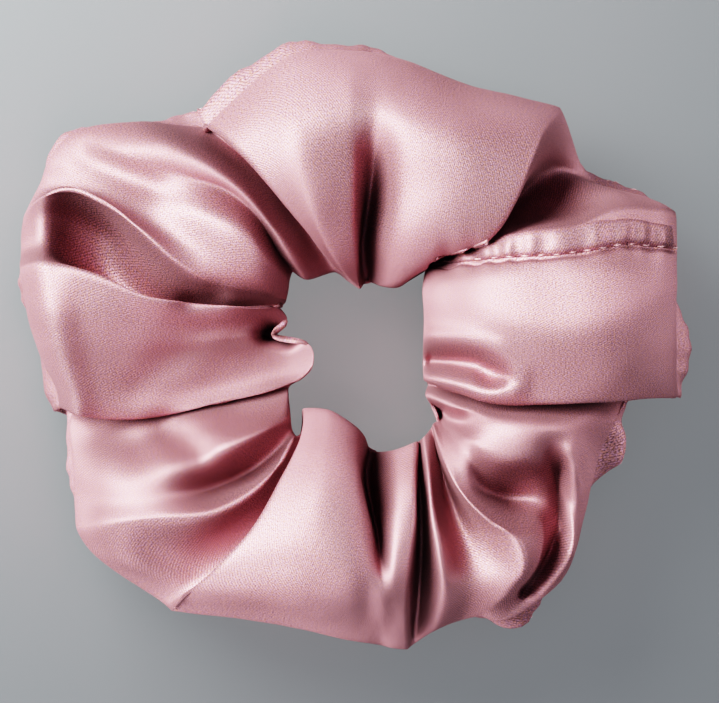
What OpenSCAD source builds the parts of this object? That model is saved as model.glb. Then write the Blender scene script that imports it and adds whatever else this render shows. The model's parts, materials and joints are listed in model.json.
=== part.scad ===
// Scrunchie: a gathered satin tube closed into a ring around an elastic band.
// Millimetres, +Z up. The origin is under the middle of the outline, on the surface it lies on.
// The ring opens along X. The cover is one tube, divided here into eight puffs that move apart.

/* [Ring] */
// Radius of the round hole that the hair goes through
loop_r = 13.2; // [12:0.1:15]
// Reach of the right and left puffs from the hole's axis
side_reach = 57.6; // [54:0.2:64]
// Reach of the top puff from the hole's axis
top_reach = 56.3; // [50:0.1:60]
// Reach of the bottom puff from the hole's axis
bottom_reach = 48.1; // [46:0.1:56]
// Reach of the largest corner puff, at the upper right
corner_reach = 62; // [56:0.5:66]
// Height of the ring as it lies
ring_h = 38; // [32:1:44]

/* [Satin cover] */
// Thickness of the gathered wall
wall = 1; // [0.8:0.1:1.6]
// Gap between two neighbouring puffs, across the ring
puff_gap = 0.5; // [0.4:0.1:1.2]
// How much smaller a puff is at its ends than at its middle, as a share
pinch = 0.1; // [0.04:0.01:0.16]
// Squareness of the tube's cross-section, where 2 is an ellipse
squareness = 2.6; // [2.2:0.1:3.2]
// Thickness lost where the tube lies flat on the surface
flat_depth = 1.2; // [0.8:0.1:2]
// Height of the straight inner wall around the hole
throat_h = 14; // [8:1:16]

/* [Seams] */
// Width of the seam allowance inside the tube
allowance_w = 6; // [4:0.5:8]
// Thickness of the two layers of the seam allowance
allowance_t = 0.8; // [0.6:0.1:1]
// Distance from one stitch to the next
stitch_pitch = 2.6; // [2:0.1:4]
// Length of one stitch
stitch_len = 1.9; // [1:0.1:1.9]
// Diameter of the sewing thread
thread_d = 0.4; // [0.3:0.05:0.5]
// Direction of the closing seam, in degrees from the right
closing_angle = 33; // [30:1:56]
// Width of the folded hem at the closing seam
hem_w = 3.5; // [2.5:0.5:5]
// Thickness of the folded hem
hem_t = 0.7; // [0.5:0.1:0.9]

/* [Elastic] */
// Length of the elastic loop, relaxed, along its middle
elastic_len = 195; // [180:1:215]
// Width of the elastic
elastic_w = 6; // [4:0.5:8]
// Thickness of the elastic
elastic_t = 1.1; // [0.8:0.1:1.4]
// Length over which its two ends lie on each other
overlap_len = 13; // [9:1:16]

/* [Hidden] */

satin = [0.75, 0.53, 0.55];
satin_shade = [0.62, 0.40, 0.43];
thread = [0.70, 0.46, 0.50];
white_elastic = [0.93, 0.92, 0.90];

// Places of the eight puffs around the ring, anticlockwise from the right
RIGHT = 0;
UPPER_RIGHT = 1;
TOP = 2;
UPPER_LEFT = 3;
LEFT = 4;
LOWER_LEFT = 5;
BOTTOM = 6;
LOWER_RIGHT = 7;
puff_angle = 45;
reaches = [
    side_reach, corner_reach, top_reach, corner_reach - 3.5,
    side_reach, side_reach - 2, bottom_reach, side_reach - 1.5
];

// The hole's axis lies this far from the middle of the outline
axis_y = (bottom_reach - top_reach) / 2;
ring_steps = 8;
section_sides = 28;
round_fn = 64;
thread_fn = 16;
hem_clearance = 0.05;
throat_step = 0.2;
// Share of a puff's length that its seam allowance and its wall around the hole cover
inner_share = 0.97;
seam_puff = UPPER_RIGHT;
elastic_r = elastic_len / 360 * 180 / PI;
elastic_z = ring_h / 2 - 2;
elastic_join_angle = 14;
half_gap_angle = asin(puff_gap / 2 / elastic_r);
half_span = puff_angle / 2 - half_gap_angle;

function curve(x) = sign(x) * pow(abs(x), 2 / squareness);
function smaller(t) = 1 - pinch * t * t;
function throat_r(i) = loop_r + (i == seam_puff ? hem_t + 4 * hem_clearance : throat_step);
function base_z(i) = i == seam_puff ? hem_t + hem_clearance : 0;

// Radius where puff i meets the next one, or the one before when t is negative
function valley_r(i, t) =
    (reaches[i] + reaches[(i + (t < 0 ? 7 : 1)) % 8]) / 2 * (1 - pinch);

// Radius from the hole's axis to the outermost point of puff i; t runs from -1 to 1 along it
function outer_r(i, t) = reaches[i] + (valley_r(i, t) - reaches[i]) * t * t;

// Cross-section of puff i at t, moved outward by grow, flattened at its base
function section(i, t, grow, base) =
    let (
        inner = throat_r(i) - grow,
        outer = outer_r(i, t) + grow,
        half_h = (ring_h * smaller(t) + flat_depth) / 2,
        mid_z = half_h - flat_depth
    )
    [
        for (k = [0:section_sides - 1])
        let (a = 360 * k / section_sides)
        [
            (inner + outer) / 2 + (outer - inner) / 2 * curve(cos(a)),
            max(base, mid_z + (half_h + grow) * curve(sin(a)))
        ]
    ];

// A closed skin through equal cross-sections, each turned about Z by its own angle
module turned_loft(sections, angles) {
    n = len(sections[0]);
    last = len(sections) - 1;
    points = [
        for (j = [0:last], p = sections[j])
        [p[0] * cos(angles[j]), p[0] * sin(angles[j]), p[1]]
    ];
    sides = [
        for (j = [0:last - 1], k = [0:n - 1])
        let (m = (k + 1) % n)
        each [
            [j * n + k, j * n + m, (j + 1) * n + k],
            [j * n + m, (j + 1) * n + m, (j + 1) * n + k]
        ]
    ];
    start_cap = [for (k = [n - 1:-1:0]) k];
    end_cap = [for (k = [0:n - 1]) last * n + k];
    polyhedron(points = points, faces = concat(sides, [start_cap, end_cap]), convexity = 6);
}

// Skin of puff i from t_from to t_to, moved outward by grow, no lower than base
module puff_skin(i, t_from, t_to, grow, base, steps) {
    ts = [for (j = [0:steps]) t_from + (t_to - t_from) * j / steps];
    turned_loft(
        [for (t = ts) section(i, t, grow, base)],
        [for (t = ts) puff_angle * i + half_span * t]
    );
}

// The seam allowance inside puff i, a fin on the outermost wall
module seam_allowance(i) {
    ts = [for (j = [0:ring_steps]) inner_share * (2 * j / ring_steps - 1)];
    turned_loft(
        [
            for (t = ts)
            let (r = outer_r(i, t) - wall / 2, z = seam_z(t), h = allowance_t / 2)
            [[r, z - h], [r, z + h], [r - allowance_w, z + h], [r - allowance_w, z - h]]
        ],
        [for (t = ts) puff_angle * i + half_span * t]
    );
}

function seam_z(t) = (ring_h * smaller(t) - flat_depth) / 2;

// Straight wall around the hole, over the length of puff i
module throat_wall(i) {
    rotate(puff_angle * i - inner_share * half_span)
        rotate_extrude(angle = 2 * inner_share * half_span, $fn = round_fn)
            translate([loop_r, (ring_h - throat_h) / 2])
                square([wall, throat_h]);
}

// One puff of the cover: a hollow shell, open at both ends
module cover_puff(i) {
    beyond = 1.1;
    color(i % 2 == 0 ? satin : satin_shade)
        translate([0, axis_y, 0]) {
            difference() {
                puff_skin(i, -1, 1, 0, base_z(i), ring_steps);
                puff_skin(i, -beyond, beyond, -wall, base_z(i) + wall, ring_steps);
            }
            seam_allowance(i);
            if (i != seam_puff) throat_wall(i);
        }
}

// A straight stitch at radius r, height z and direction a, along the ring
module stitch_along(r, z, a) {
    rotate(a)
        translate([r, 0, z])
            rotate([90, 0, 0])
                cylinder(h = stitch_len, d = thread_d, center = true, $fn = thread_fn);
}

// The stitches of the lengthwise seam in puff i, on its seam allowance
module seam_stitches(i) {
    inset = 2;
    arc = 2 * half_span * PI / 180 * reaches[i];
    count = floor(arc / stitch_pitch) - 1;
    color(thread)
        translate([0, axis_y, 0])
            for (k = [0:count - 1]) {
                t = (2 * k + 1 - count) / (count + 1);
                stitch_along(
                    outer_r(i, t) - wall - inset,
                    seam_z(t) + allowance_t / 2,
                    puff_angle * i + half_span * t
                );
            }
}

closing_t = (closing_angle - puff_angle * seam_puff) / half_span;

// The folded end of the strip, wrapped around the closing seam
module closing_hem() {
    half_t = hem_w / 2 / (elastic_r * half_span * PI / 180);
    hem_steps = 2;
    color(satin)
        translate([0, axis_y, 0])
            difference() {
                puff_skin(seam_puff, closing_t - half_t, closing_t + half_t,
                    hem_clearance + hem_t, 0, hem_steps);
                puff_skin(seam_puff, closing_t - 2 * half_t, closing_t + 2 * half_t,
                    hem_clearance, hem_t, 2 * hem_steps);
            }
}

// The topstitches that close the ring, on top of the hem, seen from above
module closing_stitches() {
    edge = 1;
    crest = section(seam_puff, closing_t, hem_clearance + hem_t, 0);
    first = 3;
    last = 11;
    color(thread)
        translate([0, axis_y, 0])
            rotate(closing_angle)
                for (k = [first:last - 1], half = [0.25, 0.75]) {
                    from = crest[k];
                    to = crest[k + 1];
                    mid = from + (to - from) * half;
                    slope = atan2(to[1] - from[1], to[0] - from[0]);
                    translate([mid[0], -hem_w / 2 + edge, mid[1]])
                        rotate([0, -slope, 0])
                            rotate([0, 90, 0])
                                cylinder(h = stitch_len / 2, d = thread_d, center = true,
                                    $fn = thread_fn);
                }
}

// The elastic: one loop whose ends lie on each other at the join
module elastic_band() {
    overlap_angle = overlap_len / elastic_r * 180 / PI;
    color(white_elastic)
        translate([0, axis_y, elastic_z - elastic_w / 2]) {
            rotate_extrude($fn = round_fn)
                translate([elastic_r - elastic_t / 2, 0])
                    square([elastic_t, elastic_w]);
            rotate(elastic_join_angle - overlap_angle / 2)
                rotate_extrude(angle = overlap_angle, $fn = round_fn)
                    translate([elastic_r + elastic_t / 4, 0])
                        square([elastic_t, elastic_w]);
        }
}

// Zigzag stitches over the overlap, as a column of slanted threads on its outer face
module elastic_join_stitches() {
    rows = 4;
    slant = 60;
    color(thread)
        translate([0, axis_y, elastic_z])
            for (k = [0:rows - 1]) {
                a = elastic_join_angle + (k - (rows - 1) / 2) * stitch_pitch / elastic_r * 180 / PI;
                rotate(a)
                    translate([elastic_r + elastic_t * 5 / 4, 0, 0])
                        rotate([k % 2 == 0 ? slant - 90 : 90 - slant, 0, 0])
                            cylinder(h = elastic_w - 1, d = thread_d, center = true,
                                $fn = thread_fn);
            }
}

cover_puff(RIGHT);  // cover_right
cover_puff(UPPER_RIGHT);  // cover_upper_right
cover_puff(TOP);  // cover_top
cover_puff(UPPER_LEFT);  // cover_upper_left
cover_puff(LEFT);  // cover_left
cover_puff(LOWER_LEFT);  // cover_lower_left
cover_puff(BOTTOM);  // cover_bottom
cover_puff(LOWER_RIGHT);  // cover_lower_right
seam_stitches(RIGHT);  // seam_stitches_right
seam_stitches(UPPER_RIGHT);  // seam_stitches_upper_right
seam_stitches(TOP);  // seam_stitches_top
seam_stitches(UPPER_LEFT);  // seam_stitches_upper_left
seam_stitches(LEFT);  // seam_stitches_left
seam_stitches(LOWER_LEFT);  // seam_stitches_lower_left
seam_stitches(BOTTOM);  // seam_stitches_bottom
seam_stitches(LOWER_RIGHT);  // seam_stitches_lower_right
closing_hem();
closing_stitches();
elastic_band();
elastic_join_stitches();
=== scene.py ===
import json
from math import cos, pi, radians, sin, sqrt

import bpy
import numpy as np
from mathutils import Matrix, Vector, noise
from mathutils.bvhtree import BVHTree


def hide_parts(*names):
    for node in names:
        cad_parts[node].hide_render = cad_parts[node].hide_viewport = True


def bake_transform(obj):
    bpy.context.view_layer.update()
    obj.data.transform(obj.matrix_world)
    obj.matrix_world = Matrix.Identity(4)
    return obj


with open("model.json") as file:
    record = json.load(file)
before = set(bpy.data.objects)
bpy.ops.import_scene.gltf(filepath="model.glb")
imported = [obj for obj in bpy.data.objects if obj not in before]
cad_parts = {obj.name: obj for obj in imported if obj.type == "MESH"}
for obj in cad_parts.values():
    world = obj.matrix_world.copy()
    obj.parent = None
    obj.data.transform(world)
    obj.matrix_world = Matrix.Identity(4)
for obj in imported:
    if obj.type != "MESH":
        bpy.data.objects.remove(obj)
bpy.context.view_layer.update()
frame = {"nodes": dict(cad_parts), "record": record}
MM = 0.001

# ---------------------------------------------------------------- places, from the frame
hair_loop = next(m for m in frame["record"]["mounts"] if m["name"] == "hair_loop")
AXIS_X, AXIS_Y, MID_Z = hair_loop["pos_m"]

# Each hoop is one line around the satin tube, given by the points that its top passes through from the
# hole to the rim, in mm from the hole's axis and above the floor. Its underside has the same plan and
# is nearly flat. The first number says how smoothly the satin passes over the hoop: 1 is round, 0 a
# sharp crease.
HOOPS = [
    ("right lower edge", 0.3, [(11.3, -1.8, 22), (16, -4, 25), (22, -5.8, 28), (32, -6, 29),
                               (45, -5.3, 27), (55, -4.8, 22)]),
    ("right panel, low", 1, [(11.2, 1, 27), (20, 0, 31), (32, -1, 33), (45, -1, 32),
                             (54.5, -1, 26)]),
    ("right panel", 1, [(11.3, 8, 30), (20, 8, 36.5), (32, 8, 38), (45, 8, 36), (54.2, 8, 28)]),
    ("right panel, high", 1, [(11, 14, 30), (20, 15, 36), (32, 16, 37), (45, 16, 35.5),
                              (54.4, 16, 28)]),
    ("closing seam", 0.5, [(12, 17.5, 26), (18, 18.2, 32), (28, 19, 35), (40, 20, 34.5),
                           (54.5, 20.3, 28)]),
    ("seam flange", 0.3, [(17, 19.5, 26), (22, 21.5, 32.5), (28, 22.8, 35), (36, 23.8, 34.5),
                          (44, 27, 32), (54.3, 26.8, 26)]),
    ("past the seam", 0.8, [(19, 21, 18), (25, 24.5, 20), (30, 25.8, 22), (36, 27, 24),
                            (43, 29.8, 26), (50, 29.2, 22)]),
    ("under the top, right", 1, [(19, 21.5, 14), (24, 26, 15), (29, 31, 16), (34, 34, 17),
                                 (40.5, 32.5, 15)]),
    ("top right edge", 0.25, [(9.5, 16, 24), (15, 18.8, 30), (22, 21.7, 34), (25.5, 27, 36),
                              (29, 35, 36), (31.5, 41, 33), (34.5, 44.8, 25)]),
    ("top right bump", 1, [(7, 14, 24), (12, 20, 34), (16, 30, 38.5), (18, 40, 38.5),
                           (20, 48, 30)]),
    ("top notch, right side", 1, [(4.2, 14, 22), (5.8, 22, 32), (7.4, 31, 35.5), (8, 42, 39.5),
                                  (9, 52.5, 31)]),
    ("top notch", 0.8, [(1.4, 15, 14), (0.8, 20, 17), (1.6, 27, 20), (2.4, 34, 28.5),
                        (2.6, 41.5, 37.5), (3, 54, 33)]),
    ("top notch, left side", 0.35, [(0.3, 13.7, 20), (-0.5, 20, 29), (-0.6, 28, 34), (-1, 36, 36.5),
                                    (-1.4, 44, 39), (-1.5, 54.3, 32)]),
    ("top left bump", 1, [(-1, 14.6, 23), (-6, 22, 33), (-9, 31, 37.5), (-11, 42, 38.5),
                          (-12, 53.5, 30)]),
    ("top left edge", 0.25, [(-1.8, 15.2, 24), (-6, 19.8, 30), (-12, 27, 34), (-18, 34, 35),
                             (-23, 39, 32), (-26.5, 41.5, 25)]),
    ("under the top, left", 0.8, [(-4, 16.8, 15), (-6.5, 20.5, 17), (-11.5, 27.5, 18),
                                  (-17.5, 34.5, 18), (-22, 38.7, 18), (-26, 41.8, 16)]),
    ("upper left band", 0.9, [(-9, 15.4, 22), (-11, 18.5, 26), (-15, 24.5, 30), (-20, 30.3, 32.5),
                              (-27, 35.5, 33), (-34, 39.5, 31), (-38, 42.3, 24)]),
    ("below the band", 0.6, [(-11.3, 16.8, 18), (-13.3, 19.5, 22), (-16.5, 25, 26),
                             (-21.5, 29.7, 28), (-31, 33, 30), (-42, 37.5, 31), (-48.5, 40.5, 25)]),
    ("upper left bump", 1, [(-11.8, 15.5, 22), (-15, 18, 31), (-19, 23, 34), (-25, 26, 33),
                            (-33, 29, 30), (-43, 33.5, 29.5), (-53, 36, 25)]),
    ("upper left bump, low", 1, [(-12, 13.5, 20), (-16, 15, 29), (-21, 17, 31), (-27, 20, 31),
                                 (-34, 24, 30.5), (-42, 29, 31), (-54.8, 31.5, 24)]),
    ("upper left ridge", 0.35, [(-12.3, 11.8, 18), (-18, 12.8, 23), (-25, 14.5, 28),
                                (-30.5, 18, 32), (-36, 23, 34), (-43, 28, 34), (-49.5, 30.5, 32.5),
                                (-54.5, 28.5, 32), (-57.2, 26, 26)]),
    ("slope into the hollow", 1, [(-12.6, 11.3, 15), (-18.5, 11.8, 20), (-26, 12.6, 23),
                                  (-32, 14.8, 22), (-38, 18.8, 16.5), (-45, 24, 15),
                                  (-49.5, 25.3, 20.5), (-53.6, 25.5, 31), (-57.6, 24, 28)]),
    ("left hollow", 1, [(-13, 11, 14), (-20, 9.8, 14), (-27, 10, 13.5), (-33, 10.5, 13),
                        (-39, 12.5, 12), (-45, 16, 13.5), (-49, 18.5, 20), (-53.4, 21, 32),
                        (-57.8, 20.5, 29)]),
    ("left upper edge", 0.3, [(-13.5, 10.8, 22), (-20, 10.6, 26.5), (-29, 11.3, 30.5),
                              (-36, 12.3, 32.5), (-43, 15.5, 34), (-50, 17.5, 36),
                              (-55, 17.8, 36.5), (-57.7, 17, 30)]),
    ("left knuckle", 1, [(-12, 8.6, 16), (-20, 7.5, 21), (-33, 7.5, 27), (-46, 9.5, 33),
                         (-54.5, 11, 37), (-57, 12, 31)]),
    ("left crevice", 1, [(-14.5, 5.8, 12), (-17, 5.8, 17), (-22, 5, 20), (-34, 4, 25),
                         (-46, 5.2, 31), (-53, 5.8, 36.5), (-55.5, 6, 31)]),
    ("left panel", 1, [(-8.2, 4, 14), (-16, 3, 16), (-23, 2, 18.5), (-35, 0, 23.5), (-45, 0.3, 29),
                       (-51.5, 0.8, 35), (-54, 1, 30)]),
    ("left panel, low", 1, [(-8, 0.3, 13), (-16, -1.5, 15), (-24, -3, 17.5), (-35, -4.5, 22),
                            (-44, -4.5, 27), (-49.6, -3.8, 33), (-51.9, -3, 28)]),
    ("left lower edge", 0.3, [(-10, -1.8, 13), (-16, -4, 15.5), (-25, -6.3, 18), (-35, -8.4, 21),
                              (-44, -8.7, 26), (-48.7, -7.7, 31), (-51, -6.4, 26)]),
    ("under the left", 1, [(-12, -3, 12), (-18, -3.5, 13), (-26, -4, 13), (-35, -5, 13),
                           (-43, -5, 13), (-48, -5, 12)]),
    ("lower left, near", 1, [(-12.2, -4.5, 14), (-18, -7.5, 18), (-26, -9, 21), (-34, -10.5, 22),
                             (-42, -11, 21.5), (-49.6, -9, 15)]),
    ("lower left band", 1, [(-11.8, -8.5, 21), (-17, -11, 26), (-24, -14, 27.5), (-33, -17, 28),
                            (-42, -18.5, 27), (-49.2, -16, 19)]),
    ("lower left almond", 1, [(-11.5, -10.5, 18), (-14, -13.5, 17), (-18, -17, 14.5),
                              (-24, -19.8, 19), (-32, -21.5, 28), (-41, -22.5, 28.5),
                              (-49, -22, 20)]),
    ("lower left ridge", 0.6, [(-10.8, -11.5, 20), (-13, -15.5, 24), (-17, -20, 27),
                               (-24, -24, 29.5), (-33, -25, 31), (-42, -26, 30),
                               (-48.5, -27.5, 22)]),
    ("lower left dent", 1, [(-10.3, -11.5, 16), (-13, -17.5, 20), (-18, -24, 22), (-25, -29, 23),
                            (-34, -31, 24), (-41, -32, 26), (-46, -31.5, 22)]),
    ("under the bottom edge", 1, [(-9.3, -10.5, 13), (-11, -17.5, 17), (-14.5, -24.3, 19),
                                  (-19.2, -30.3, 20), (-24.5, -35.3, 21), (-30, -38.2, 21),
                                  (-33.5, -40.3, 18)]),
    ("bottom left edge", 0.25, [(-9.4, -7, 21), (-9.8, -11, 27), (-12, -17, 32),
                                (-15.5, -23.5, 34.5), (-20, -29.5, 35), (-25, -34.5, 33.5),
                                (-30, -38.7, 28), (-32, -41.6, 19)]),
    ("bottom panel", 1, [(-5, -7.2, 25), (-5.5, -14, 33), (-7, -23, 38), (-9, -32, 38),
                         (-11, -40, 33), (-12, -44, 21)]),
    ("bottom panel, right", 1, [(-0.5, -9.8, 25), (-0.8, -17, 33), (-1.2, -24, 36.5),
                                (-1.3, -31, 38), (-1.5, -39, 35), (-2, -46.5, 22)]),
    ("bottom notch, left side", 0.9, [(1, -11.5, 20), (0.2, -17, 29), (0.8, -23, 33),
                                    (1.6, -28.5, 34.8), (1.8, -37, 35.3), (1.4, -47, 22)]),
    ("bottom notch", 0.8, [(2.2, -14, 12), (1.4, -18, 13), (2.1, -23, 17), (3.2, -28, 25),
                           (4, -36, 34.7), (4, -47.4, 22)]),
    ("bottom notch, right side", 1, [(6, -14, 20), (6, -18, 27), (6.3, -23, 31), (6, -28, 33),
                                    (5.8, -36, 34.2), (5.8, -47.8, 22)]),
    ("bottom right edge", 0.3, [(10, -12.6, 21), (9.6, -18, 29), (9.3, -25, 32), (8.6, -32, 33),
                                (8, -39, 31), (8.3, -48, 21)]),
    ("bottom crease", 0.8, [(10.3, -12.5, 15), (10.4, -18, 19), (10.6, -25, 19), (10.6, -32, 18),
                            (10.2, -39, 17), (9.3, -47.5, 15)]),
    ("second ridge", 0.8, [(11.3, -11.8, 20), (11.8, -17, 27), (12.4, -24, 30), (13.6, -31, 31),
                           (14.2, -37, 29), (13, -45, 20)]),
    ("second valley", 1, [(12.6, -10, 16), (14.2, -17, 19), (16.2, -24, 21), (18.5, -31, 24),
                          (19.5, -37, 26), (18, -43.2, 18)]),
    ("s-shaped crest", 0.4, [(12.8, -9.6, 21), (14.5, -15.5, 28), (17.5, -21, 31),
                             (22, -25.5, 31.5), (27, -29, 31), (28, -34, 28.5), (25, -38.5, 24),
                             (21, -42.4, 17)]),
    ("below the crest", 1, [(13, -9.3, 20), (16.5, -15.5, 29), (19.5, -21, 28), (24.5, -25, 26),
                            (30, -28.5, 27), (30.4, -34, 22), (28, -38.7, 18), (25, -43.3, 16)]),
    ("lower right hollow", 1, [(13.5, -9, 20), (18, -14, 29), (21, -20, 22), (25.5, -22, 16),
                               (31, -22.5, 17), (34.3, -26, 15), (36, -31, 24), (35.5, -35.5, 16)]),
    ("lower right lobe", 0.7, [(13.5, -8.3, 19), (19, -12, 30), (24, -14.8, 30), (30, -14.8, 28),
                               (33.8, -17.5, 19), (36, -22, 25), (38.8, -25.5, 16)]),
    ("lower right lobe, high", 1, [(13, -7, 19), (17, -7.8, 25), (23, -9, 30), (31, -10, 30),
                                   (37, -11.5, 26), (41.3, -15.5, 15)]),
    ("lower right lip", 1, [(11.6, -4.5, 19), (16, -6.3, 25), (23, -7.3, 27), (32, -7.5, 27),
                            (39, -7.8, 24), (44.5, -9, 15)]),
    ("under the right", 1, [(12, -2.5, 13), (18, -3.5, 16), (25, -4, 17), (34, -4, 17),
                            (43, -4, 15), (48, -4, 12)]),
]
# Ridges (+) and grooves (-) pressed into the top: a path in mm from the hole's axis, half the width
# and the height
STROKES = [
    ("right pinch", [(10, 1.5), (16, 1.5), (20, 1), (23, -0.8)], 2.0, -7),
    ("right pinch lip", [(12.5, 5.4), (18, 4.8), (23, 3.3), (26.5, -0.5)], 1.8, 1.8),
    ("right pinch roll", [(11.5, -1.4), (16, -2.6), (21, -4), (26, -3.4)], 1.7, 2.5),
    ("right diagonal", [(50, 13), (38, 6), (30, 3)], 4, 0.8),
    ("upper left outer dent", [(-46, 36), (-40, 33), (-34, 30.5)], 2.6, -1.6),
    ("upper left crevice", [(-28.5, 12), (-24.5, 12.6)], 1.8, -4),
    ("left knuckles", [(-15.5, 6), (-12.5, 5.6)], 1.4, -8),
    ("left panel dent", [(-37, -2), (-31, 3), (-26, 7)], 3.2, -1.0),
    ("lower left first dent", [(-43, -11), (-38, -12.5)], 3.4, -3),
    ("lower left second dent", [(-33, -10.5), (-27, -14)], 2.6, -3.4),
    ("eye", [(15.5, -8.7), (17.4, -9.2)], 1.9, -4),
    ("lower right strip", [(35.5, -14), (38, -20), (37.6, -27), (36, -33.5),
                           (31.5, -38.5)], 1.6, 2.2),
    ("crease inside the strip", [(34.2, -17), (35.2, -22.5), (34.8, -28), (32.3, -33),
                                 (28.5, -37.5)], 1.4, -3.6),
    ("lower right bump", [(25, -29), (28, -33)], 2.6, 1),
    ("crevice at the hole", [(11, -6.5), (13.5, -7.5)], 1.3, -7),
]
# Lower layers that bulge out past the top's rim: the angle about the hole's axis, half the width of
# the bulge in degrees and how far it stands out in mm
BULGES = [
    ("far right", 4, 9, 5.2),
    ("behind the lower right", -18, 7, 6.0),
    ("behind the upper right", 36, 6, 2.5),
    ("rolled seam behind the top", 88, 7, 3.4),
    ("rolled seam, left", 102, 8, 4.6),
    ("rolled seam, far left", 113, 6, 3.6),
    ("behind the upper left", 122, 8, 4),
    ("upper left", 143, 6, 3.2),
    ("far left", 167, 8, 3.2),
    ("left", 184, 6, 4),
    ("lower left", 199, 8, 2.8),
    ("lower right", 302, 6, 3.6),
]
SAMPLES_PER_HOOP = 16
SECTION_POINTS = 106
HOOP_COUNT = 440
# Over how many hoops to each side the cloth laid out flat is evened out
UV_SMOOTHING = 18
# The seam where the ends of the tube are closed by hand, on the right
CLOSING_LINE = [(12.4, 17.6), (18, 18.1), (25, 18.7), (33, 19), (40, 20), (45, 21), (54.2, 20.4)]
# The free edge of the folded hem above it
HEM_EDGE = [(13.4, 18.9), (18, 20.2), (22, 21.9), (28, 23.2), (35, 23.9), (40, 24.9), (46, 25.4),
            (53.6, 24.2)]
PUCKER_PITCH = 4.2
PUCKER_DEPTH = 0.5
# Where the lengthwise seam runs around the section, in degrees: 90 is the top and 180 the rim
SEAM_PHI = 207
STITCH_PITCH = 2.6
STITCH_LENGTH = 1.7
THREAD_RADIUS = 0.13
THREAD_SIDES = 8
# A real strip would be wider: this one doesn't reach around the puffs, whose girth is mostly 103 to
# 125 mm.
CUT_LENGTH = 400
CUT_WIDTH = 104
CLOTH = 0.3
HEM_THICKNESS = 0.6
# Ripples in the satin: their length and height
RIPPLES = [(13, 0.45), (5, 0.12)]
# The elastic inside: its radius, width, thickness and usual height, and the angle and length of the
# overlap of its ends
ELASTIC_R = 31
ELASTIC_W = 6
ELASTIC_T = 1.1
ELASTIC_Z = 17
OVERLAP_ANGLE = 14
OVERLAP_LENGTH = 14
# A height that is inside the tube everywhere along the elastic
TUBE_MIDDLE_Z = 12
# The twill lines of the satin: the distance between them in mm and their slant
TWILL_PITCH = 0.36
TWILL_ANGLE = 35


def tangents(values, steps, closed):
    """Slopes of a smooth curve through values that are steps apart."""
    if closed:
        before, after = np.roll(values, 1, axis=0), np.roll(values, -1, axis=0)
        step_in, step_out = np.roll(steps, 1, axis=0), steps
    else:
        before = np.concatenate([2 * values[:1] - values[1:2], values[:-1]])
        after = np.concatenate([values[1:], 2 * values[-1:] - values[-2:-1]])
        step_in = np.concatenate([steps[:1], steps])
        step_out = np.concatenate([steps, steps[-1:]])
    across = (after - before) / (step_in + step_out)
    return (values - before) / step_in - across + (after - values) / step_out


def between(t, a, b, slope_a, slope_b):
    """The curve from a to b, t of the way along."""
    return ((2 * t**3 - 3 * t**2 + 1) * a + (t**3 - 2 * t**2 + t) * slope_a
            + (3 * t**2 - 2 * t**3) * b + (t**3 - t**2) * slope_b)


def along_path(path, u):
    """Points of the smooth path, u of its length from its start."""
    path = np.array(path, float)
    steps = np.linalg.norm(np.diff(path[:, :2], axis=0), axis=1)[:, None]
    slopes = tangents(path, steps, closed=False)
    at = np.concatenate([[0], np.cumsum(steps)]) / steps.sum()
    k = np.clip(np.searchsorted(at, u, side="right") - 1, 0, len(steps) - 1)
    t = ((u - at[k]) / (at[k + 1] - at[k]))[:, None]
    return between(t, path[k], path[k + 1], slopes[k] * steps[k], slopes[k + 1] * steps[k])


def cover_points():
    """Points of the gathered tube in mm about the hole's axis: hoops, points around, and x, y, z."""
    phi = np.arange(SECTION_POINTS) / SECTION_POINTS * 2 * pi
    c, s = np.cos(phi), np.sin(phi)
    u = (1 - np.sign(c) * np.abs(c) ** 0.85) / 2
    lift = np.abs(s) ** 0.58
    hoops = []
    for _, _, path in HOOPS:
        line = along_path(path, u)
        top = line[:, 2]
        mid = 8.5 + 0.23 * top.mean()
        under = np.clip(0.4 * (36 - top), 0.4, 4)
        line[:, 2] = np.where(s >= 0, mid + (top - mid) * lift, mid - (mid - under) * lift)
        hoops.append(line)
    hoops = np.array(hoops)
    ahead = np.roll(hoops, -1, axis=0)
    steps = np.linalg.norm(ahead - hoops, axis=2, keepdims=True) ** 0.5 + 0.1
    slopes = tangents(hoops, steps, closed=True) * np.array([row[1] for row in HOOPS])[:, None, None]
    later = np.roll(slopes, -1, axis=0)
    rows = [between(k / SAMPLES_PER_HOOP, hoops, ahead, slopes * steps, later * steps)
            for k in range(SAMPLES_PER_HOOP)]
    return np.stack(rows, axis=1).reshape(-1, SECTION_POINTS, 3)


def add_strokes(points):
    """Press each stroke into the top of the cover."""
    phi = np.arange(points.shape[1]) / points.shape[1] * 2 * pi
    on_top = np.clip(np.sin(phi) / 0.35, 0, 1)[None]
    lift = np.zeros(points.shape[:2])
    for _, path, half_width, height in STROKES:
        path = np.array(path, float)
        gap = np.full(points.shape[:2], 1e9)
        for a, b in zip(path, path[1:]):
            t = np.clip(((points[..., :2] - a) @ (b - a)) / ((b - a) @ (b - a)), 0, 1)
            off = points[..., :2] - (a + t[..., None] * (b - a))
            gap = np.minimum(gap, np.linalg.norm(off, axis=2))
        lift += height * np.exp(-(gap / half_width) ** 2) * on_top
    points = points.copy()
    points[..., 2] += lift
    return points


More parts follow.
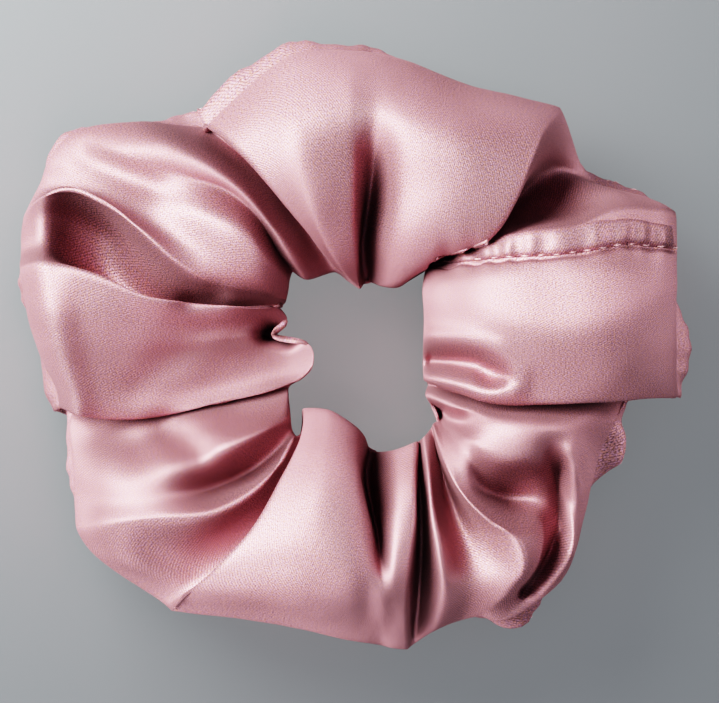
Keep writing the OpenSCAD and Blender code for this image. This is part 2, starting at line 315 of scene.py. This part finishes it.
def even_hoops(points, count):
    """The same tube with its hoops evenly spaced, and closer together near the closing seam."""
    ahead = np.linalg.norm(np.roll(points, -1, axis=0) - points, axis=2).mean(axis=1)
    seam_row = [row[0] for row in HOOPS].index("closing seam") * SAMPLES_PER_HOOP
    ahead += 0.25
    ahead[seam_row - 9:seam_row + 13] *= 2.5
    at = np.concatenate([[0], np.cumsum(ahead)])
    closed = np.concatenate([points, points[:1]]).reshape(len(points) + 1, -1)
    want = np.arange(count) / count * at[-1]
    flat = np.stack([np.interp(want, at, closed[:, k]) for k in range(closed.shape[1])], axis=1)
    return flat.reshape(count, *points.shape[1:])


def add_bulges(points):
    """Push the lower outer side of the tube out where a lower layer shows past the rim."""
    phi = np.arange(points.shape[1]) / points.shape[1] * 2 * pi
    low_and_outer = np.exp(-((phi - radians(SEAM_PHI)) / 0.3) ** 2)
    low_and_outer -= 0.4 * np.exp(-((phi - 3.2) / 0.13) ** 2)
    angle = np.degrees(np.arctan2(points[..., 1], points[..., 0]))
    out = np.zeros(points.shape[:2])
    for _, at, half_width, push in BULGES:
        away = (angle - at + 180) % 360 - 180
        out += push * np.exp(-(away / half_width) ** 2)
    out *= low_and_outer[None]
    radius = np.linalg.norm(points[..., :2], axis=2)
    moved = points.copy()
    moved[..., :2] *= (1 + out / radius)[..., None]
    return moved


def add_ripples(points):
    """Uneven ripples all over, as loose satin has."""
    normals = grid_normals(points)
    lift = np.zeros(points.shape[:2])
    for length, height in RIPPLES:
        lift += [[height * noise.noise(Vector(p) / length) for p in row]
                 for row in points.tolist()]
    return points + normals * lift[..., None]


def grid_normals(points):
    """Outward unit normals of the tube at each of its points."""
    along = np.roll(points, -1, axis=0) - np.roll(points, 1, axis=0)
    around = np.roll(points, -1, axis=1) - np.roll(points, 1, axis=1)
    normals = np.cross(around, along)
    return normals / np.maximum(np.linalg.norm(normals, axis=2, keepdims=True), 1e-9)


def place_along(line, xy):
    """How far along a line each point is, and how far it is to the left of it."""
    line = np.array(line, float)
    best = np.full(xy.shape[:-1], 1e9)
    along = np.zeros(xy.shape[:-1])
    side = np.zeros(xy.shape[:-1])
    start = 0
    for a, b in zip(line, line[1:]):
        run = np.linalg.norm(b - a)
        t = np.clip(((xy - a) @ (b - a)) / run**2, 0, 1)
        gap = xy - (a + t[..., None] * (b - a))
        far = np.linalg.norm(gap, axis=-1)
        nearer = far < best
        best = np.where(nearer, far, best)
        along = np.where(nearer, start + t * run, along)
        left = np.sign((b - a)[0] * gap[..., 1] - (b - a)[1] * gap[..., 0])
        side = np.where(nearer, left * far, side)
        start += run
    return along, side


def pucker(along):
    """Uneven puckers between stitches, from -1 to 1."""
    drift = 1.3 * np.sin(along / 7.3) + 0.8 * np.sin(along / 3.1 + 2)
    return np.sin(2 * pi * (along + drift) / PUCKER_PITCH) * (0.75 + 0.25 * np.sin(along / 5.7 + 1))


def add_seams(points):
    """Draw the cloth in along the closing seam and the lengthwise seam, with its puckers."""
    phi = np.degrees(np.arange(points.shape[1]) / points.shape[1] * 2 * pi)
    normals = grid_normals(points)
    along, side = place_along(CLOSING_LINE, points[..., :2])
    on_top = ((phi > 8) & (phi < 172))[None]
    fade = np.where(side > 0, np.exp(-side / 2.4), np.exp(side / 1.3))
    lift = (PUCKER_DEPTH * pucker(along) * fade - 0.9 * np.exp(-(side / 0.55) ** 2)) * on_top
    seam = points[:, int(SEAM_PHI / 360 * len(phi))]
    ring = np.linalg.norm(np.roll(seam, -1, axis=0) - seam, axis=1)
    run = np.concatenate([[0], np.cumsum(ring)[:-1]])[:, None]
    off = ((phi - SEAM_PHI) / 4.5)[None]
    lift = lift + 0.85 * PUCKER_DEPTH * pucker(run) * np.exp(-np.abs(off) / 2.2)
    lift -= 0.6 * np.exp(-off**2)
    return points + normals * lift[..., None]


def object_from(name, points, faces, uvs, material):
    """A smooth object from points in mm about the hole's axis, with the cloth's UVs."""
    mesh = bpy.data.meshes.new(name)
    mesh.from_pydata((np.array(points) * MM + [AXIS_X, AXIS_Y, 0]).tolist(), [], faces)
    mesh.polygons.foreach_set("use_smooth", [True] * len(mesh.polygons))
    mesh.uv_layers.new(name="cloth").data.foreach_set("uv", np.array(uvs, float).reshape(-1))
    mesh.materials.append(material)
    obj = bpy.data.objects.new(name, mesh)
    bpy.context.scene.collection.objects.link(obj)
    return obj


def grid_faces(n, m, closed=(True, True)):
    """Quads of a grid of n by m points, and each quad's corners as steps along the grid."""
    rows, columns = n if closed[0] else n - 1, m if closed[1] else m - 1
    i, j = np.meshgrid(np.arange(rows), np.arange(columns), indexing="ij")
    corners = [(i, j), (i, j + 1), (i + 1, j + 1), (i + 1, j)]
    faces = np.stack([(p % n) * m + q % m for p, q in corners], axis=2).reshape(-1, 4)
    steps = np.stack([np.stack([p, q], axis=2) for p, q in corners], axis=2).reshape(-1, 4, 2)
    return faces, steps


def shell_mesh(name, points, thickness, material):
    """A closed tube of cloth with its inner face, and the cloth laid out flat as UVs."""
    n, m = points.shape[:2]
    outer, steps = grid_faces(n, m)
    inner = outer[:, ::-1] + n * m
    places = []
    for axis, size in ((0, CUT_LENGTH), (1, CUT_WIDTH)):
        gaps = np.linalg.norm(np.roll(points, -1, axis=axis) - points, axis=2)
        if axis == 0:
            gaps = np.repeat(gaps.mean(axis=1, keepdims=True), m, axis=1)
        else:
            near = range(-UV_SMOOTHING, UV_SMOOTHING + 1)
            gaps = np.mean([np.roll(gaps, k, axis=0) for k in near], axis=0)
        run = np.insert(np.cumsum(gaps, axis=axis), 0, 0, axis=axis)
        places.append(run / run.take([-1], axis=axis) * size)
    i, j = steps[..., 0], steps[..., 1]
    flat = np.stack([places[0][i, j % m], places[1][i % n, j]], axis=2)
    both = np.concatenate([points, points - grid_normals(points) * thickness]).reshape(-1, 3)
    faces = np.concatenate([outer, inner])
    return object_from(name, both, faces.tolist(), np.concatenate([flat, flat[:, ::-1]]), material)


# ---------------------------------------------------------------- materials
# The scale of a wave texture whose bands are one unit apart
BANDS = 0.314


class Shader:
    """A material with a Principled shader and short calls to add nodes to it."""

    def __init__(self, name, **sockets):
        self.material = bpy.data.materials.new(name)
        self.material.use_nodes = True
        self.nodes = self.material.node_tree.nodes
        self.surface = self.nodes["Principled BSDF"]
        for socket, value in sockets.items():
            self.surface.inputs[socket.replace("_", " ")].default_value = value

    def add(self, kind, inputs=None, **settings):
        """The first output of a new node with these inputs and settings."""
        node = self.nodes.new("ShaderNode" + kind)
        for key, value in settings.items():
            setattr(node, key, value)
        for key, value in (inputs or {}).items():
            if isinstance(value, bpy.types.NodeSocket):
                self.material.node_tree.links.new(value, node.inputs[key])
            else:
                node.inputs[key].default_value = value
        return node.outputs[0]

    def link(self, socket, value):
        self.material.node_tree.links.new(value, self.surface.inputs[socket])

    def noise(self, where, size, detail=2.0):
        """Noise between 0 and 1 with lumps about size across, in the units of where."""
        return self.add("TexNoise", {"Vector": where, "Scale": 1 / size, "Detail": detail})

    def math(self, operation, a, b=0.0, c=0.0):
        return self.add("Math", {0: a, 1: b, 2: c}, operation=operation)

    def ramp(self, fac, low, high, first, last):
        """A colour that goes from first to last as fac goes from low to high."""
        node = self.nodes.new("ShaderNodeValToRGB")
        self.material.node_tree.links.new(fac, node.inputs[0])
        for element, place, color in zip(node.color_ramp.elements, (low, high), (first, last)):
            element.position = place
            element.color = (*color, 1)
        return node.outputs[0]

    def bump(self, height, distance, strength, normal=None):
        inputs = {"Height": height, "Distance": distance, "Strength": strength}
        if normal is not None:
            inputs["Normal"] = normal
        return self.add("Bump", inputs)


def satin_material():
    """Dusty-rose satin: twill lines, grain whose bright specks in the colour are partly painted
    sparkle, and a sheen that runs with the weave.
    """
    sh = Shader("satin", Roughness=0.6, Metallic=0.85, Specular_IOR_Level=0.2,
                Specular_Tint=(0.12, 0.03, 0.04, 1), Anisotropic=0.45, Anisotropic_Rotation=0.25,
                Coat_Weight=0.4, Coat_IOR=1.6, Coat_Roughness=0.55, Coat_Tint=(1, 0.94, 0.975, 1))
    cloth = sh.add("UVMap", uv_map="cloth")
    diagonal = sh.add("Mapping", {"Vector": cloth, "Rotation": (0, 0, radians(TWILL_ANGLE))})
    twill = sh.add("TexWave", {"Vector": diagonal, "Scale": BANDS / TWILL_PITCH, "Distortion": 0.35,
                               "Detail": 1.0, "Detail Scale": 2.0})
    grain = sh.noise(cloth, 0.22, 2)
    hue = sh.noise(cloth, 0.35, 2)
    mottle = sh.noise(cloth, 1.6, 2)
    dye = sh.noise(cloth, 16, 2)
    base = sh.ramp(dye, 0.35, 0.65, (0.235, 0.103, 0.108), (0.28, 0.127, 0.135))
    # The grain's specks in the base colour are partly the satin's own grain and partly painted
    # sparkle: bright specks that stand in for glints of light.
    grain_and_painted_sparkle = sh.ramp(grain, 0.32, 0.68, (0.30, 0.27, 0.28), (1.75, 1.8, 1.85))
    glint = sh.ramp(hue, 0.4, 0.6, (1.10, 1.02, 0.80), (0.94, 1.0, 1.30))
    line = sh.ramp(twill, 0.2, 0.8, (0.76, 0.76, 0.76), (1.18, 1.18, 1.18))
    color = base
    for layer in (grain_and_painted_sparkle, glint, line):
        color = sh.add("MixRGB", {0: 1.0, 1: color, 2: layer}, blend_type="MULTIPLY")
    sh.link("Base Color", color)
    sh.link("Roughness", sh.math("MULTIPLY_ADD", grain, -0.24, 0.75))
    sh.link("Tangent", sh.add("Tangent", direction_type="UV_MAP", uv_map="cloth"))
    weave = sh.math("MULTIPLY_ADD", twill, 0.5, grain)
    normal = sh.bump(mottle, 0.00022, 0.25)
    normal = sh.bump(weave, 0.00006, 0.5, normal)
    sh.link("Normal", normal)
    sh.link("Coat Normal", sh.bump(grain, 0.0002, 0.9, normal))
    return sh.material


def thread_material():
    """Twisted sewing thread, a little darker than the satin."""
    sh = Shader("thread", Roughness=0.5, Sheen_Weight=0.4, Sheen_Roughness=0.4, Specular_IOR_Level=0.4)
    along = sh.add("UVMap", uv_map="cloth")
    twist = sh.add("TexWave", {"Vector": along, "Scale": BANDS / 0.35, "Distortion": 0.2},
                   bands_direction="DIAGONAL")
    sh.link("Base Color", sh.ramp(twist, 0.1, 0.9, (0.30, 0.12, 0.135), (0.50, 0.25, 0.27)))
    sh.link("Normal", sh.bump(twist, 0.00005, 0.6))
    return sh.material


def elastic_material():
    """Off-white braided elastic."""
    sh = Shader("elastic", Roughness=0.75, Sheen_Weight=0.3, Sheen_Roughness=0.5)
    along = sh.add("UVMap", uv_map="cloth")
    ribs = sh.add("TexWave", {"Vector": along, "Scale": BANDS / 0.75, "Distortion": 0.3},
                  bands_direction="Y")
    knit = sh.add("TexWave", {"Vector": along, "Scale": BANDS / 0.5, "Distortion": 1.0},
                  bands_direction="DIAGONAL")
    braid = sh.math("MULTIPLY_ADD", ribs, 0.6, knit)
    sh.link("Base Color", sh.ramp(braid, 0.3, 1.3, (0.66, 0.63, 0.58), (0.90, 0.88, 0.84)))
    sh.link("Normal", sh.bump(braid, 0.0002, 0.7))
    return sh.material


# ---------------------------------------------------------------- sewn pieces
def tube_along(path, radius):
    """Points, quads and UVs of a thin tube with closed round ends along a path in mm."""
    sides = THREAD_SIDES
    path = np.array(path, float)
    ahead = np.gradient(path, axis=0)
    ahead /= np.linalg.norm(ahead, axis=1, keepdims=True)
    across = np.cross(ahead, [0, 0, 1.0])
    across /= np.linalg.norm(across, axis=1, keepdims=True)
    above = np.cross(across, ahead)
    t = np.linspace(0, 1, len(path))
    swell = np.sqrt(np.clip(1 - (2 * t - 1) ** 6, 0.05, 1))
    turn = np.arange(sides) / sides * 2 * pi
    sideways, upward = np.cos(turn)[None, :, None], np.sin(turn)[None, :, None]
    ring = sideways * across[:, None] + upward * above[:, None]
    points = path[:, None] + ring * (radius * swell)[:, None, None]
    faces, steps = grid_faces(len(path), sides, closed=(False, True))
    faces = faces.tolist()
    last = (len(path) - 1) * sides
    faces.append(list(range(sides))[::-1])
    faces.append([last + k for k in range(sides)])
    run = np.linalg.norm(path[-1] - path[0]) / (len(path) - 1)
    uvs = (steps * [run, radius]).reshape(-1, 2).tolist() + [[0, 0]] * (2 * sides)
    return points.reshape(-1, 3), faces, uvs


def threads(name, paths, radius, material):
    """One piece made of many short threads."""
    points, faces, uvs = [], [], []
    for path in paths:
        p, f, uv = tube_along(path, radius)
        faces += [[k + len(points) for k in face] for face in f]
        points += p.tolist()
        uvs += uv
    return object_from(name, points, faces, uvs, material)


def surface_tree(points):
    """A tree to find the cover's outside from any point."""
    faces, _ = grid_faces(*points.shape[:2])
    return BVHTree.FromPolygons([Vector(p) for p in points.reshape(-1, 3)], faces.tolist())


def on_top(tree, x, y):
    """The cover's topmost point and normal under a place in plan, or just inside its rim."""
    place = None
    while place is None:
        place, normal, _, _ = tree.ray_cast(Vector((x, y, 60)), Vector((0, 0, -1)))
        x -= 0.3
    return np.array(place), np.array(normal)


def walk(line, step):
    """Points a step apart along a line in plan."""
    line = np.array(line, float)
    runs = np.linalg.norm(np.diff(line, axis=0), axis=1)
    at = np.concatenate([[0], np.cumsum(runs)])
    want = np.arange(0, at[-1], step)
    return np.stack([np.interp(want, at, line[:, k]) for k in range(2)], axis=1)


def closing_hem(tree):
    """The folded hem that lies over the closing seam, puckered along its stitches."""
    across = 9
    low, high = walk(CLOSING_LINE, 0.4), walk(HEM_EDGE, 0.4)
    count = min(len(low), len(high))
    rows = []
    for k in range(count):
        start = low[k * len(low) // count]
        end = high[k * len(high) // count]
        rise = 0.35 * pucker(np.array(k * 0.4))
        row = []
        for j in range(across):
            t = j / (across - 1)
            place, _ = on_top(tree, *(start + (end - start) * t * (1 + 0.04 * rise)))
            lift = HEM_THICKNESS * sqrt(max(0, 1 - (2 * t - 1) ** 8))
            lift += (0.25 + 0.9 * rise) * sin(pi * t)
            row.append(place + [0, 0, max(0.02, lift)])
        rows.append(row)
    rows = np.array(rows)
    under = rows - [0, 0, HEM_THICKNESS * 0.9]
    loop = np.concatenate([rows, under[:, ::-1]], axis=1)
    n, m = loop.shape[:2]
    faces, steps = grid_faces(n, m, closed=(False, True))
    ends = [list(range(m))[::-1], [(n - 1) * m + k for k in range(m)]]
    faces = [face[::-1] for face in faces.tolist()] + [end[::-1] for end in ends]
    uvs = (steps[:, ::-1] * [0.4, 0.5]).reshape(-1, 2).tolist() + [[0, 0]] * (2 * m)
    return object_from("closing_hem_fold", loop.reshape(-1, 3), faces, uvs, SATIN)


def closing_stitches(tree):
    """Topstitches along the closing seam, each dipping into the cloth at its ends."""
    paths = []
    for place in walk(CLOSING_LINE, STITCH_PITCH)[1:]:
        line = []
        for t in np.linspace(-0.5, 0.5, 7):
            spot, normal = on_top(tree, place[0] + t * STITCH_LENGTH, place[1] + 0.1 * t + 0.35)
            line.append(spot + normal * (0.30 * cos(pi * t) - 0.02))
        paths.append(line)
    return threads("closing_topstitches", paths, THREAD_RADIUS, THREAD)


def lengthwise_stitches(points):
    """The machine stitches that close the tube along its length."""
    row = int(round(SEAM_PHI / 360 * points.shape[1]))
    line = points[:, row] + grid_normals(points)[:, row] * 0.22
    runs = np.linalg.norm(np.roll(line, -1, axis=0) - line, axis=1)
    at = np.concatenate([[0], np.cumsum(runs)])
    closed = np.concatenate([line, line[:1]])
    count = int(at[-1] / STITCH_PITCH)
    paths = []
    for k in range(count):
        want = at[-1] * k / count + np.linspace(0, STITCH_LENGTH, 7)
        paths.append(np.stack([np.interp(want, at, closed[:, c]) for c in range(3)], axis=1))
    return threads("lengthwise_stitches", paths, THREAD_RADIUS, THREAD)


def room_for_elastic(tree):
    """The elastic's height at every degree, moved away from the folds that come down or up to it."""
    heights = []
    for degree in range(360):
        most, least = ELASTIC_Z, 0
        for r in ELASTIC_R + np.array([-1, 0, 1, 2]):
            middle = Vector((r * cos(radians(degree)), r * sin(radians(degree)), TUBE_MIDDLE_Z))
            above = tree.ray_cast(middle, Vector((0, 0, 1)))[0]
            below = tree.ray_cast(middle, Vector((0, 0, -1)))[0]
            most = min(most, above.z - ELASTIC_W / 2 - 0.8)
            least = max(least, below.z + ELASTIC_W / 2 + 0.5)
        heights.append(max(most, least))
    lowest = [min(heights[(k + d) % 360] for d in range(-5, 6)) for k in range(360)]
    smooth = [sum(lowest[(k + d) % 360] for d in range(-4, 5)) / 9 for k in range(360)]
    return smooth + smooth


def elastic_band(height):
    """The braided elastic ring, its ends overlapped: one turn and the overlap, wound outward."""
    steps = 360
    turn = 2 * pi + OVERLAP_LENGTH / ELASTIC_R
    start = radians(OVERLAP_ANGLE) - OVERLAP_LENGTH / ELASTIC_R / 2
    section = [(x * ELASTIC_T / 2, z * ELASTIC_W / 2) for x, z in
               [(-1, -0.92), (-0.6, -1), (0.6, -1), (1, -0.92),
                (1, 0.92), (0.6, 1), (-0.6, 1), (-1, 0.92)]]
    rings = []
    for k in range(steps + 1):
        t = k / steps
        angle = start + turn * t
        out = ELASTIC_R + ELASTIC_T * 1.05 * np.clip((t - 0.86) / 0.06, 0, 1)
        level = height[int(np.degrees(angle)) % 360] + 0.15 * sin(angle * 37)
        rings.append([((out + x) * cos(angle), (out + x) * sin(angle), level + z) for x, z in section])
    rings = np.array(rings)
    n, m = rings.shape[:2]
    faces, steps_uv = grid_faces(n, m, closed=(False, True))
    faces = faces.tolist() + [list(range(m))[::-1], [(n - 1) * m + k for k in range(m)]]
    uvs = (steps_uv * [0.55, 1.6]).reshape(-1, 2).tolist() + [[0, 0]] * (2 * m)
    return object_from("braided_elastic", rings.reshape(-1, 3), faces, uvs, elastic_material())


def elastic_stitches(height):
    """Zigzag rows that join the elastic's overlapped ends."""
    paths = []
    out = ELASTIC_R + ELASTIC_T * 1.6
    for k in range(5):
        angle = radians(OVERLAP_ANGLE) + (k - 2) * STITCH_PITCH / ELASTIC_R
        lean = 0.8 / ELASTIC_R * (1 if k % 2 else -1)
        path = []
        for t in np.linspace(-0.5, 0.5, 9):
            r = out + 0.1 * cos(pi * t)
            turn = angle + lean * t
            path.append((r * cos(turn), r * sin(turn), height[OVERLAP_ANGLE] + t * (ELASTIC_W - 1)))
        paths.append(path)
    return threads("elastic_zigzag_stitches", paths, THREAD_RADIUS, THREAD)


SATIN = satin_material()
THREAD = thread_material()
points = add_strokes(add_bulges(even_hoops(cover_points(), HOOP_COUNT)))
points = add_seams(add_ripples(points))
tree = surface_tree(points)
cover = shell_mesh("satin_cover", points, CLOTH, SATIN)
hem = closing_hem(tree)
topstitches = closing_stitches(tree)
seam_stitches = lengthwise_stitches(points)
elastic_height = room_for_elastic(tree)
elastic = elastic_band(elastic_height)
join_stitches = elastic_stitches(elastic_height)
# Each piece, a slot name and the parts of model.glb that it takes the place of: those parts are hidden
# and the piece's transform is baked
PIECES = [
    (cover, "satin", [node for node in frame["nodes"] if node.startswith("cover_")]),
    (hem, "satin", ["closing_hem"]),
    (topstitches, "thread", ["closing_stitches"]),
    (seam_stitches, "thread", [node for node in frame["nodes"] if node.startswith("seam_stitches_")]),
    (elastic, "elastic", ["elastic_band"]),
    (join_stitches, "thread", ["elastic_join_stitches"]),
]
for piece, slot, nodes in PIECES:
    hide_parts(*nodes)
    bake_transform(piece)


# ---------------------------------------------------------------- camera, floor and light
def look(obj, at):
    """Turn a camera or a lamp towards a point."""
    obj.rotation_euler = (Vector(at) - obj.location).to_track_quat("-Z", "Y").to_euler()


# The camera looks straight down, as in the photograph: its height, the height at which the view is as
# wide as VIEW_WIDTH, and that width, in metres
CAMERA_HEIGHT = 0.80
FOCUS_HEIGHT = 0.022
VIEW_WIDTH = 0.1222
camera = bpy.data.objects.new("camera", bpy.data.cameras.new("camera"))
bpy.context.scene.collection.objects.link(camera)
camera.location = (0.0002, -0.0011, CAMERA_HEIGHT)
camera.rotation_euler = (0, 0, 0)
camera.data.sensor_width = 36
camera.data.lens = 36 * (CAMERA_HEIGHT - FOCUS_HEIGHT) / VIEW_WIDTH
bpy.context.scene.camera = camera

bpy.ops.mesh.primitive_plane_add(size=3)
floor = bpy.context.object
floor.name = "floor"
board = Shader("floor", Base_Color=(0.30, 0.31, 0.31, 1), Roughness=0.8)
floor.data.materials.append(board.material)

world = bpy.data.worlds.new("studio")
bpy.context.scene.world = world
world.use_nodes = True
world.node_tree.nodes["Background"].inputs["Color"].default_value = (0.8, 0.85, 1, 1)
world.node_tree.nodes["Background"].inputs["Strength"].default_value = 0.26
bpy.context.scene.view_settings.view_transform = "Filmic"
bpy.context.scene.view_settings.look = "High Contrast"


def area_light(name, place, size, power, tint, floor_state, shadows=True):
    """A soft round lamp that lights only the floor, or everything but the floor."""
    data = bpy.data.lights.new(name, "AREA")
    data.shape = "DISK"
    data.size = size
    data.energy = power
    data.color = tint
    obj = bpy.data.objects.new(name, data)
    obj.location = place
    obj.visible_camera = False
    look(obj, (0, 0, 0.02))
    bpy.context.scene.collection.objects.link(obj)
    lit = bpy.data.collections.new(name + "_lights")
    lit.objects.link(floor)
    lit.collection_objects[0].light_linking.link_state = floor_state
    obj.light_linking.receiver_collection = lit
    data.use_shadow = shadows


area_light("key", (-0.48, 0.19, 0.60), 0.55, 57, (1, 0.98, 0.96), "EXCLUDE")
area_light("front_fill", (-0.12, -0.48, 0.07), 0.35, 2.6, (1, 0.97, 0.98), "EXCLUDE")
area_light("side_fill", (0.48, 0.10, 0.07), 0.35, 3, (1, 0.97, 0.98), "EXCLUDE")
area_light("floor_light", (-0.21, 0.21, 0.17), 0.34, 1.0, (0.94, 0.98, 1), "INCLUDE")
area_light("floor_wash", (-0.18, 0.19, 0.14), 0.24, 1.2, (0.94, 0.98, 1), "INCLUDE", shadows=False)
